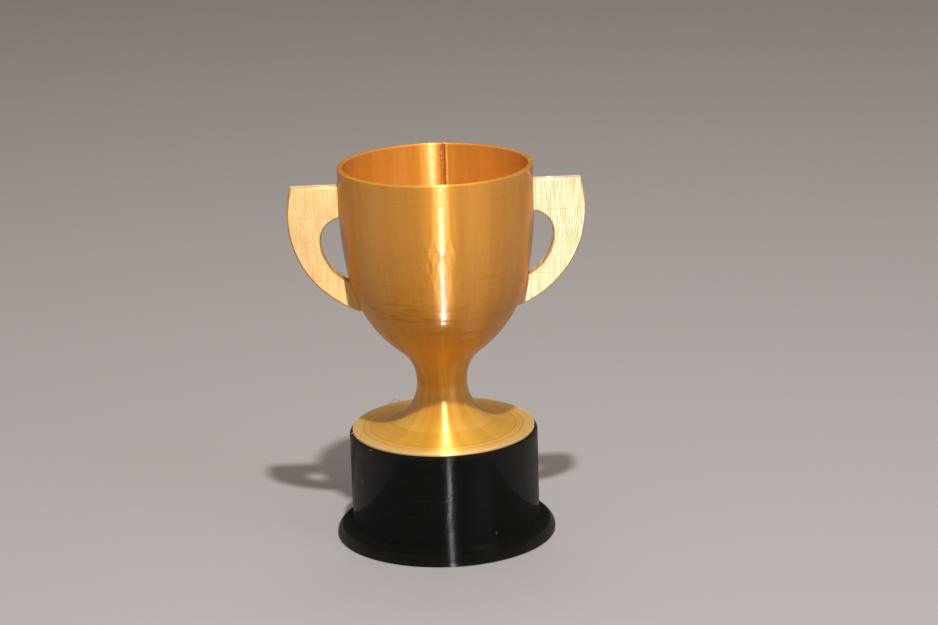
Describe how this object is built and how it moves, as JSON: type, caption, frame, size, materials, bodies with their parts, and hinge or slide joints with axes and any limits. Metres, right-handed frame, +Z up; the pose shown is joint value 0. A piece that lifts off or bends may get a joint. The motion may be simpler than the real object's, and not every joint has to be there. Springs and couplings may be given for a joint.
{
  "type": "cup trophy",
  "caption": "Two-handled cup trophy: hollow gold bowl with flat slab handles, flared stem on a disc, bolted to a flanged black round base.",
  "frame": {"origin": "on the trophy's axis, at the underside of the base", "axes": "+Z up along the axis to the rim; the two handles lie along X, left_handle at -X and right_handle at +X; the front faces -Y"},
  "size_m": [0.1146, 0.086, 0.148],
  "materials": {
    "gold_plastic": "silky gold printed plastic with fine horizontal layer lines",
    "black_plastic": "satin black printed plastic with fine horizontal layer lines",
    "steel": "zinc-plated",
    "brass": "machined"
  },
  "bodies": {
    "root": {"base": "black_plastic", "stem": "gold_plastic", "bowl": "gold_plastic", "left_handle": "gold_plastic", "right_handle": "gold_plastic", "centre_bolt": "steel", "bolt_washer": "steel", "threaded_insert": "brass"}
  },
  "joints": []
}
